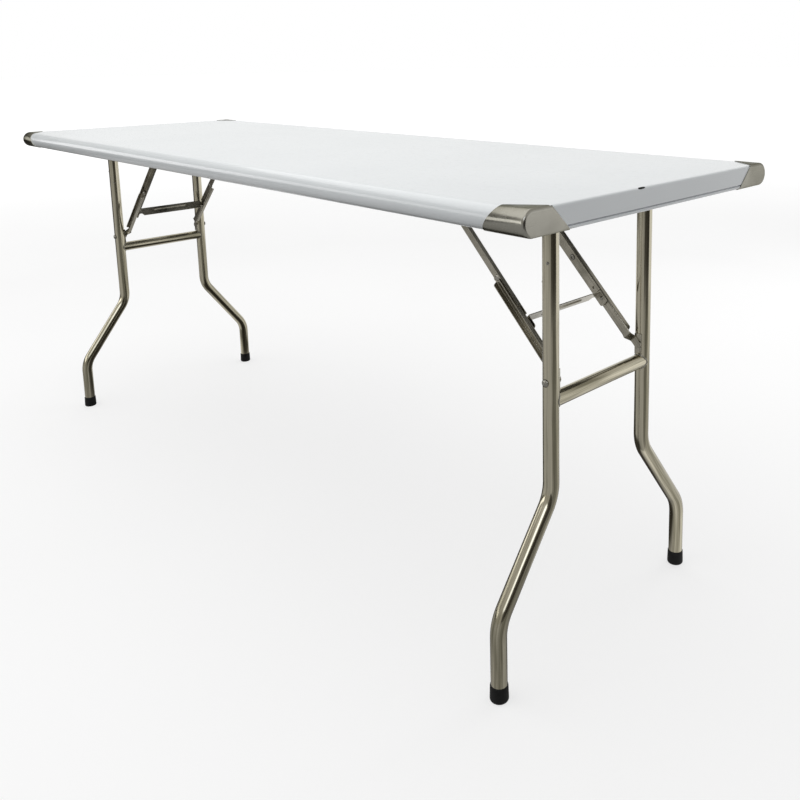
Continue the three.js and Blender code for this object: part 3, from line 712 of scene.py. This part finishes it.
def makeUpperLink(endName, sideName):
    size = upperLinks
    side = sideSigns[sideName]
    bend = braces["bend"]
    quarter = math.pi * bend / 4
    eye = (size["openSide"] + size["webSide"]) / 2
    start = -braces["upperLength"] - eye
    stop, end, chamfer = size["stop"], size["end"], size["chamfer"]
    web = size["outer"] - size["inner"] - bend + quarter
    flange = 2 * eye - bend + quarter
    columns = bunched(start, eye, 10) + chained(start + eye, (stop - chamfer, 24), (stop, 7))[1:]
    columns += chained(stop + size["notch"], (end - chamfer, 4), (end, 6))
    marks = chained(-web, (-quarter, 5), (quarter, 9), (flange, 9))

    def low(u):
        if u > stop + size["notch"] / 2:
            return -quarter
        return size["stopCorner"] - roundEnd(stop - u, size["stopCorner"]) - web

    def high(u):
        return flange - (eye - roundEnd(u - start, eye)) - max(u - (end - chamfer), 0)

    def place(u, v):
        inward, down = bentLine(v, bend)
        return bracePlace(endName, u, size["webSide"] - down, side * (size["inner"] - inward))

    outside = Vector((0.3 * endSigns[endName], -side, 0.3))
    piece = pressSheet(f"upperLink_{endName}_{sideName}", columns, marks, low, high, place, outside,
                       braces["wall"], "link" + endName.title())
    hole = bracePlace(endName, end - size["holeSetback"], size["holeRise"], side * size["inner"])
    drillAcross(piece, hole, size["hole"], size["drillHalf"])
    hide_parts(f"upper_link_{endName}_{sideName}")
    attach(piece, f"{endName}_upper_links")


lowerLinks = {
    "inner": 0.09445, "half": 0.0085, "depth": 0.010, "flangeStart": 0.003, "flangeEnd": 0.160466,
    "slant": 0.006, "fade": 0.004, "crankStart": 0.164466, "crankEnd": 0.176466, "crankShift": 0.0085,
    "tongueHalf": 0.0067, "tip": 0.193466, "leastHalf": 0.0001,
}


def makeLowerLink(endName, sideName):
    size = lowerLinks
    side = sideSigns[sideName]
    bend = braces["bend"]
    quarter = math.pi * bend / 4
    eye, tongue, tip = size["half"], size["tongueHalf"], size["tip"]
    start, end, slant = size["flangeStart"], size["flangeEnd"], size["slant"]
    crankStart, crankEnd = size["crankStart"], size["crankEnd"]
    flat = eye - bend + quarter
    full = flat + quarter + size["depth"] - bend
    columns = bunched(-eye, eye, 9)
    columns += chained(0, (start, 3), (start + slant, 7), (end - slant, 16), (end, 7), (crankStart, 3),
                       (crankEnd, 13))[1:]
    columns += bunched(tip - tongue, tongue, 9)
    half = chained(0, (flat - quarter, 4), (flat + quarter, 9), (full, 7))[1:]
    marks = [-v for v in reversed(half)] + [0] + half

    def crankShare(u):
        return fraction((u - crankStart) / (crankEnd - crankStart))

    # Half width of the blank: a round eye, the slanted flanges, and the tongue past the crank
    def reachOf(u):
        if u < 0:
            return max(roundEnd(u + eye, eye), size["leastHalf"])
        if u < crankStart:
            rise = fraction(min(u - start, end - u) / slant)
            return eye + (full - eye) * (1 - (1 - rise) ** 2)
        if u < crankEnd:
            return eye + (tongue - eye) * crankShare(u)
        return max(roundEnd(tip - u, tongue), size["leastHalf"])

    def place(u, v):
        level = size["inner"] + size["crankShift"] * smoothly(crankShare(u))
        # The folds flatten out towards both ends of the channel
        folded = fraction(u / start) * fraction((crankStart - u) / size["fade"])
        along, up = bentLine(abs(v) - flat, bend)
        across = (eye + along) * folded + abs(v) * (1 - folded)
        return bracePlace(endName, u, math.copysign(across, v), side * (level + up * folded))

    piece = pressSheet(f"lowerLink_{endName}_{sideName}", columns, marks, lambda u: -reachOf(u), reachOf,
                       place, Vector((0, -side, 0)), braces["wall"], "link" + endName.title())
    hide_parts(f"lower_link_{endName}_{sideName}")
    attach(piece, f"{endName}_lower_links")


braceTies = {
    "offset": 0.079, "above": 0.009, "below": 0.015, "wall": 0.0014, "reach": 0.09205, "bend": 0.0022,
    "beadDepth": 0.0024, "beadHalf": 0.0048, "beadEdge": 0.001, "beadEnd": 0.050, "beadFade": 0.006,
    "beadPast": 0.004, "neckBelow": 0.008, "neckEnd": 0.008, "neckSlant": 0.004, "tab": 0.022,
    "tabCorner": 0.004,
}


def makeBraceTie(endName):
    size = braceTies
    bend, corner = size["bend"], size["tabCorner"]
    quarter = math.pi * bend / 4
    fold = size["reach"] - bend + quarter
    full = fold + quarter + size["tab"] - bend
    neckEnd = size["reach"] - size["neckEnd"]
    neckStart = neckEnd - size["neckSlant"]
    beadEnd, beadFade = size["beadEnd"], size["beadFade"]
    half = chained(0, (beadEnd - beadFade, 6), (beadEnd + size["beadPast"], 9), (neckStart, 4),
                   (neckEnd, 5), (fold - quarter, 3), (fold + quarter, 8), (full - corner, 5), (full, 6))[1:]
    columns = [-u for u in reversed(half)] + [0] + half
    middle = (size["above"] - size["below"]) / 2
    bead = size["beadHalf"] + size["beadEdge"]
    marks = chained(-size["below"], (middle - bead, 4), (middle + bead, 17), (size["above"], 5))

    def cornerCut(u):
        return corner - roundEnd(full - abs(u), corner)

    def low(u):
        share = fraction((abs(u) - neckStart) / size["neckSlant"])
        return (size["below"] - size["neckBelow"]) * share - size["below"] + cornerCut(u)

    def high(u):
        return size["above"] - cornerCut(u)

    def place(u, v):
        run = smoothly((beadEnd - abs(u)) / beadFade)
        width = min(abs(v - middle) / size["beadHalf"], 1)
        swell = size["beadDepth"] * run * (1 - width ** 3) ** 1.5
        inward, forward = bentLine(abs(u) - fold, bend)
        y = math.copysign(size["reach"] + inward, u)
        return bracePlace(endName, size["offset"] + forward + swell, v, y)

    piece = pressSheet(f"braceTie_{endName}", columns, marks, low, high, place,
                       Vector((-endSigns[endName], 0, 1)), size["wall"], "tie")
    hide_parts(f"brace_tie_{endName}")
    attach(piece, f"{endName}_lower_links")


# Brackets, saddles and channels: copies of the CAD nodes with their sheet edges eased
def makeEased(nodeName, finish, edge, body):
    bm = bmesh.new()
    bm.from_mesh(nodes[nodeName].data)
    bmesh.ops.remove_doubles(bm, verts=bm.verts, dist=mergeWithin)
    bmesh.ops.dissolve_limit(bm, angle_limit=math.radians(1.5), verts=bm.verts, edges=bm.edges)
    piece = makePiece(nodeName + "_eased", bm, finish)
    easeEdges(piece, edge, 40)
    bakeModifiers(piece)
    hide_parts(nodeName)
    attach(piece, body)


railNames = [f"rail_{place}" for place in ("back", "front", "centre")]
for endName in endSigns:
    makeBraceTie(endName)
    for sideName in sideSigns:
        where = f"{endName}_{sideName}"
        makeUpperLink(endName, sideName)
        makeLowerLink(endName, sideName)
        makeEased(f"leg_saddle_{where}", "bracket", 0.0003, f"{endName}_leg_frame")
        for kind in ("hinge", "brace"):
            makeEased(f"{kind}_bracket_{where}", "bracket", 0.0004, "top")
for railName in railNames:
    makeEased(railName, "rail", 0.0004, "top")
print("braces and pressed pieces made")

# Pins, rivets and bolts: a turned master of each kind, set out by Geometry Nodes
pinKinds = {
    "hinge_pin": {"headHeight": 0.0016, "shank": 0.004, "heads": "both", "body": "top"},
    "brace_pin": {"headHeight": 0.0016, "shank": 0.0035, "heads": "both", "body": "top"},
    "knuckle_rivet": {"headHeight": 0.0016, "shank": 0.00325, "heads": "hollow", "body": "upper_links"},
    "brace_bolt": {"headHeight": 0.003, "shank": 0.00325, "heads": "outer", "body": "leg_frame"},
}


def setOutTree():
    tree, given = startTree("setOutHeads", head="Object")
    master = addNode(tree, "GeometryNodeObjectInfo", {"Object": given["head"]}).outputs["Geometry"]
    turn = addNode(tree, "FunctionNodeAlignRotationToVector", {"Vector": recalled(tree, "aim")}, axis="Z")
    heads = shape(tree, "InstanceOnPoints", {
        "Points": given["guide"], "Instance": master, "Rotation": turn.outputs[0]})
    return endTree(tree, heads, given)


setOutHeads = setOutTree()


# Radii as shares of the head's. A hollow head is turned in at its crown, as a tubular rivet's is
domes = {
    "steps": 9, "foot": 0.999, "crown": 0.04, "hollowFrom": 0.52, "lip": 0.46, "lipDrop": 0.0001,
    "mouth": 0.40, "mouthRise": 0.1, "cup": ((0.30, 0.0004), (0.05, 0.0006)),
}


def domeProfile(radius, height, base, hollow=False):
    size = domes
    profile = [(radius * size["foot"], base)]
    for step in range(1, size["steps"]):
        turn = quarterTurn * step / size["steps"]
        profile.append((radius * math.cos(turn), base + height * math.sin(turn)))
    if not hollow:
        return profile + [(radius * size["crown"], base + height)]
    profile = [point for point in profile if point[0] > radius * size["hollowFrom"]]
    profile += [(radius * size["lip"], profile[-1][1] - size["lipDrop"]),
                (radius * size["mouth"], base + height * size["mouthRise"])]
    return profile + [(radius * share, base - drop) for share, drop in size["cup"]]


def setOut(name, profile, sides, places, finish, body):
    bm = bmesh.new()
    spinProfile(bm, profile, sides)
    master = makePiece("headMaster", bm, finish)
    points = guideMesh([place for place, _ in places])
    aim = points.attributes.new("aim", "FLOAT_VECTOR", "POINT")
    for i, (_, direction) in enumerate(places):
        aim.data[i].vector = direction
    piece = runTree(name, points, setOutHeads, finish, {"head": master})
    bpy.data.objects.remove(master)
    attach(piece, body)
    return piece


def makePins(kind, endName=None):
    size = pinKinds[kind]
    ends = [endName] if endName else list(endSigns)
    names = [f"{kind}_{end}_{side}" for end in ends for side in sideSigns]
    places = []
    for name in names:
        low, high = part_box(name)
        places.append(((low + high) / 2, (0, sideSigns[name.split("_")[-1]], 0)))
        length, radius = high.y - low.y, (high.x - low.x) / 2
    rim = length / 2 - size["headHeight"]
    outer = domeProfile(radius, size["headHeight"], rim)
    profile = outer[::-1] + [(size["shank"], rim)]
    if size["heads"] == "outer":
        profile += [(size["shank"], -length / 2)]
    else:
        inner = domeProfile(radius, size["headHeight"], rim, size["heads"] == "hollow")
        profile += [(size["shank"], -rim)] + [(r, -h) for r, h in inner]
    body = size["body"] if size["body"] == "top" else f"{endName}_{size['body']}"
    piece = setOut(f"{kind}s_{endName or 'all'}", profile, 40, places, "pin", body)
    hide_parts(*names)


smallHeads = {
    "tieRivet": {"radius": 0.0036, "height": 0.0013, "sides": 28, "past": 0.011, "rise": 0.0032},
    "tubeRivet": {"radius": 0.0026, "height": 0.0009, "sides": 24, "sunk": 0.0002,
                  "spots": ((0.647, 20), (0.616, -62))},
    "spotWeld": {"radius": 0.0028, "height": 0.0003, "sides": 16, "sunk": 0.0012,
                 "spacing": 0.075, "endGap": 0.045, "sideGap": 0.0065},
}
headRoot = 0.0004


def setSmallHeads(kind, name, places, finish, body):
    size = smallHeads[kind]
    profile = [(size["radius"], -headRoot)] + domeProfile(size["radius"], size["height"], 0)
    return setOut(name, profile, size["sides"], places, finish, body)


def makeTieRivets(endName):
    size = smallHeads["tieRivet"]
    inner = braceTies["reach"] - braceTies["wall"]
    places = [(bracePlace(endName, braceTies["offset"] + size["past"], size["rise"], side * inner),
               (0, -side, 0)) for side in (1, -1)]
    piece = setSmallHeads("tieRivet", f"tieRivets_{endName}", places, "pin", f"{endName}_lower_links")


def makeTubeRivets(endName):
    size = smallHeads["tubeRivet"]
    sign = endSigns[endName]
    places = []
    for side in (1, -1):
        for level, degrees in size["spots"]:
            turn = math.radians(degrees)
            out = Vector((sign * math.sin(turn), side * math.cos(turn), 0))
            centre = Vector((legX(endName), side * legTubes["topSpread"], level))
            places.append((centre + out * (legTubes["radius"] - size["sunk"]), out))
    piece = setSmallHeads("tubeRivet", f"tubeRivets_{endName}", places, "pin", f"{endName}_leg_frame")


def makeSpotWelds():
    size = smallHeads["spotWeld"]
    places = []
    for railName in railNames:
        low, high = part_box(railName)
        start, span = low.x + size["endGap"], high.x - low.x - 2 * size["endGap"]
        count = int(span / size["spacing"])
        for y in (low.y + size["sideGap"], high.y - size["sideGap"]):
            places += [((start + i * span / count, y, high.z - size["sunk"]), (0, 0, -1))
                       for i in range(count + 1)]
    piece = setSmallHeads("spotWeld", "spotWelds", places, "rail", "top")


makePins("hinge_pin")
makePins("brace_pin")
for endName in endSigns:
    makePins("knuckle_rivet", endName)
    makePins("brace_bolt", endName)
    makeTieRivets(endName)
    makeTubeRivets(endName)
makeSpotWelds()

# Weld beads: uneven drops in a row round the crossbar's ends
weldBeads = {"drop": 0.0016, "spacing": 0.0008, "uneven": 0.22, "sides": 96, "seed": 7}


def weldTree():
    tree, given = startTree("weldBead", spacing="Float", drop="Float", uneven="Float")
    seam = shape(tree, "MeshToCurve", {"Mesh": given["guide"]})
    even = shape(tree, "ResampleCurve", {"Curve": seam, "Length": given["spacing"]}, mode="LENGTH")
    drop = shape(tree, "MeshIcoSphere", {"Radius": given["drop"], "Subdivisions": 2})
    smooth = shape(tree, "SetShadeSmooth", {"Geometry": drop})
    # Sockets 2 and 3 are the least and the most of a plain number, and output 1 is the number
    least = maths(tree, "SUBTRACT", 1.0, given["uneven"])
    scale = addNode(tree, "FunctionNodeRandomValue", {2: least, 3: 1.0, "Seed": weldBeads["seed"]},
                    data_type="FLOAT").outputs[1]
    row = shape(tree, "InstanceOnPoints", {"Points": even, "Instance": smooth, "Scale": scale})
    return endTree(tree, row, given)


weldBead = weldTree()


def makeWelds(endName):
    size = weldBeads
    sides = size["sides"]
    x = legX(endName)
    points = [(x + dx, side * copedReach(dx), crossTubes["height"] + dz)
              for side in (1, -1) for dx, dz in circle(crossTubes["radius"], sides)]
    edges = [(first + i, first + (i + 1) % sides) for first in (0, sides) for i in range(sides)]
    piece = runTree(f"weldBeads_{endName}", guideMesh(points, edges), weldBead, "pin", size)
    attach(piece, f"{endName}_leg_frame")


for endName in endSigns:
    makeWelds(endName)

# Trim on the end skirts: a black plug in the near one, and at the corners black lumps of painted shade where
# the sheet has shaded relief holes
edgeTrim = {
    "plugAt": -0.059, "plugSize": (0.0019, 0.0085, 0.0016), "reliefShadeSize": (0.0013, 0.0016, 0.0013),
    "reliefShadeSetback": 0.0023, "proud": 0.58, "blunt": 0.6, "sides": 28, "rings": 13,
}


def makeEdgePlugAndReliefShade():
    size = edgeTrim
    bm = bmesh.new()
    relief = halfWidth - cornerCaps["endAbove"] - size["reliefShadeSetback"]
    spots = [(1, size["plugAt"], size["plugSize"])]
    # The corner lumps are painted shade: dark solids set where the sheet's corner relief holes hold only
    # shade
    spots += [(sign, side * relief, size["reliefShadeSize"]) for sign in (1, -1) for side in (1, -1)]
    setback = topSheet["inset"] + topSheet["endBend"] * (1 - size["proud"])
    profile = [(math.cos(turn) ** size["blunt"], math.sin(turn))
               for turn in spaced(math.radians(-88), math.radians(88), size["rings"])]
    for sign, y, halves in spots:
        centre = (sign * (halfLength - setback), y, table["height"] - setback)
        turn = Matrix.Diagonal(halves) @ Matrix.Rotation(quarterTurn, 3, "X")
        spinProfile(bm, profile, size["sides"], centre, turn)
    piece = makePiece("edgeTrim", bm, "rubber", smoothAngle=60)
    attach(piece, "top")


makeEdgePlugAndReliefShade()
print("pins, welds and trim made")

# The floor is lifted to white where the camera looks. Bright metal mirrors the white backdrop behind
# the table and a darker room on the other sides
studio = {
    "floorColour": (0.30, 0.30, 0.30), "floorSize": 60, "floorLift": 0.66, "farLift": 1.0,
    "fadeFrom": 2.5, "fadeTo": 9.0, "mirrorLift": 0.30, "floorLean": 0.40, "roomLean": 0.16,
    "whiteFrom": (-0.08, 0.18), "whiteAt": (0.0, 0.18), "endsFrom": (0.62, 0.76), "darkFrom": (1.6, 2.3),
    "shadeMiddle": (0.0, 0.14, 0.0), "shadeHalf": (0.70, 0.26, 0.0), "shadeBlend": 0.15,
    "ambient": 0.60, "roomTone": (0.46, 0.45, 0.42), "sideTone": (0.075, 0.07, 0.06),
    "skyTone": (0.62, 0.61, 0.59), "skyFrom": (0.22, 0.55),
    "backTone": (0.87, 0.875, 0.87), "backTop": (0.30, 0.55),
    "glintWay": (0.558, -0.61, 0.563), "glintEdge": (0.955, 0.985), "glintTone": (2.3, 2.4, 2.6),
}
plainWhite = (1, 1, 1, 1)


# How white the room is behind the table and how dark beyond its ends. halfLine shortens the room by
# half the distance between the legs
def mirroredRoom(tree, place, halfLine, lean):
    parts = addNode(tree, "ShaderNodeSeparateXYZ", {"Vector": place}).outputs
    beyond = maths(tree, "SUBTRACT", maths(tree, "ABSOLUTE", parts["X"]), halfLine)
    beyond = maths(tree, "MAXIMUM", beyond, 0.0)
    level = shading(tree, "CombineXYZ", {"X": beyond, "Y": parts["Y"]})
    unit = vectors(tree, "NORMALIZE", level)
    turned = vectors(tree, "DOT_PRODUCT", unit, (-lean, 1.0, 0.0))
    ends = vectors(tree, "DOT_PRODUCT", unit, (1.0, 0.0, 0.0))
    white = spread(tree, turned, 0.0, 1.0, *studio["whiteFrom"])
    dark = maths(tree, "MULTIPLY", spread(tree, ends, 0.0, 1.0, *studio["endsFrom"]),
                 spread(tree, turned, 1.0, 0.0, *studio["whiteAt"]))
    return white, dark, vectors(tree, "LENGTH", level)


def floorFinish():
    material, tree, shader = newFinish("floorFinish")
    path = addNode(tree, "ShaderNodeLightPath").outputs
    place = addNode(tree, "ShaderNodeTexCoord").outputs["Object"]
    fade = spread(tree, vectors(tree, "LENGTH", place), studio["floorLift"], studio["farLift"],
                  studio["fadeFrom"], studio["fadeTo"])
    white, ends, reach = mirroredRoom(tree, place, legTubes["place"], studio["floorLean"])
    # Under the table the floor is mirrored in the table's own shade
    past = vectors(tree, "ABSOLUTE", vectors(tree, "SUBTRACT", place, studio["shadeMiddle"]))
    past = vectors(tree, "SUBTRACT", past, studio["shadeHalf"])
    past = vectors(tree, "LENGTH", vectors(tree, "MAXIMUM", past, (0.0, 0.0, 0.0)))
    shaded = spread(tree, past, 1.0, 0.0, 0.0, studio["shadeBlend"])
    dark = maths(tree, "MULTIPLY", ends, spread(tree, reach, 0.0, 1.0, *studio["darkFrom"]))
    dark = maths(tree, "MULTIPLY", maths(tree, "MAXIMUM", dark, shaded), path["Is Glossy Ray"])
    behind = spread(tree, white, studio["mirrorLift"], 1.0, 0.0, 1.0)
    mirrored = maths(tree, "MULTIPLY", path["Is Glossy Ray"], behind)
    seen = maths(tree, "MAXIMUM", path["Is Camera Ray"], mirrored)
    seen = maths(tree, "SUBTRACT", seen, dark, clamp=True)
    tone = studio["floorColour"]
    shade = cloudy(tree, pattern(tree), 0.9, 2.0)
    colour = ramp(tree, shade, [(0.3, tone), (0.7, [value * 1.05 for value in tone])])
    feed(tree, shader, {
        "Base Color": mixed(tree, dark, colour, studio["sideTone"]),
        "Roughness": 0.9, "Specular IOR Level": 0.1, "Emission Color": plainWhite,
        "Emission Strength": maths(tree, "MULTIPLY", seen, fade),
    })
    return material


def makeFloor():
    bm = bmesh.new()
    bmesh.ops.create_grid(bm, x_segments=8, y_segments=8, size=studio["floorSize"])
    floor = addObject("studioFloor", meshFrom(bm, "studioFloor"))
    floor.data.materials.append(floorFinish())


def makeWorld():
    world = bpy.data.worlds.new("studioWorld")
    scene.world = world
    world.use_nodes = True
    tree = world.node_tree
    tree.nodes.clear()
    path = addNode(tree, "ShaderNodeLightPath").outputs
    seen = maths(tree, "MAXIMUM", path["Is Camera Ray"], path["Is Transmission Ray"])
    place = addNode(tree, "ShaderNodeTexCoord").outputs["Generated"]
    height = addNode(tree, "ShaderNodeSeparateXYZ", {"Vector": place}).outputs["Z"]
    white, ends, _ = mirroredRoom(tree, place, 0.0, studio["roomLean"])
    backdrop = maths(tree, "MULTIPLY", white, spread(tree, height, 1.0, 0.0, *studio["backTop"]))
    room = mixed(tree, ends, studio["roomTone"], studio["sideTone"])
    room = mixed(tree, spread(tree, height, 0.0, 1.0, *studio["skyFrom"]), room, studio["skyTone"])
    room = mixed(tree, backdrop, room, studio["backTone"])
    # A soft light over the camera's shoulder, which bends, rivets and the slanted legs mirror
    glow = spread(tree, vectors(tree, "DOT_PRODUCT", place, studio["glintWay"]), 0.0, 1.0,
                  *studio["glintEdge"])
    room = mixed(tree, glow, room, studio["glintTone"])
    soft = shading(tree, "Background", {"Color": plainWhite, "Strength": studio["ambient"]})
    mirror = shading(tree, "Background", {"Color": room, "Strength": 1.0})
    plain = shading(tree, "Background", {"Color": plainWhite, "Strength": 1.0})
    lit = shading(tree, "MixShader", {0: path["Is Glossy Ray"], 1: soft, 2: mirror})
    whole = shading(tree, "MixShader", {0: seen, 1: lit, 2: plain})
    addNode(tree, "ShaderNodeOutputWorld", {"Surface": whole})


lamps = {
    "above": {"place": (-0.5, -0.3, 2.7), "size": (4.6, 3.2), "level": 0.84},
    "behindRight": {"place": (0.9, 2.6, 1.3), "size": (1.4, 1.6), "level": 2.2, "mirrored": False},
    "left": {"place": (-2.3, -2.6, 1.15), "size": (4.2, 0.9), "level": 1.7},
}
lampTarget = Vector((0, 0, 0.5))


def makeLamps():
    for name, values in lamps.items():
        lamp = bpy.data.lights.new(f"{name}Softbox", "AREA")
        lamp.shape = "RECTANGLE"
        lamp.size, lamp.size_y = values["size"]
        lamp.energy = values["level"] * math.pi * lamp.size * lamp.size_y
        holder = addObject(f"{name}Softbox", lamp)
        holder.location = values["place"]
        holder.rotation_euler = (lampTarget - Vector(values["place"])).to_track_quat("-Z", "Y").to_euler()
        holder.visible_glossy = values.get("mirrored", True)


# Camera at the photograph's standpoint: lens and shift as fitted, image 800 by 800
viewpoint = {
    "place": (1.57894, -1.02641, 0.93915),
    "right": (0.71595376, 0.69803513, -0.01253648),
    "down": (0.10677985, -0.12723108, -0.98610867),
    "forward": (-0.68993353, 0.70466957, -0.16562766),
    "focal": 839.68, "middle": (497.81, 200.47), "image": 800, "sensor": 36,
}


def makeCamera():
    view = viewpoint
    camera = bpy.data.cameras.new("viewCamera")
    camera.sensor_width = view["sensor"]
    camera.lens = view["focal"] * view["sensor"] / view["image"]
    half = view["image"] / 2
    camera.shift_x = (half - view["middle"][0]) / view["image"]
    camera.shift_y = (view["middle"][1] - half) / view["image"]
    holder = addObject("viewCamera", camera)
    up, back = ([-v for v in view[way]] for way in ("down", "forward"))
    turn = Matrix((view["right"], up, back)).transposed()
    holder.matrix_world = Matrix.Translation(view["place"]) @ turn.to_4x4()
    scene.camera = holder


makeFloor()
makeWorld()
makeLamps()
makeCamera()
scene.view_settings.view_transform = "Standard"
print("studio made")
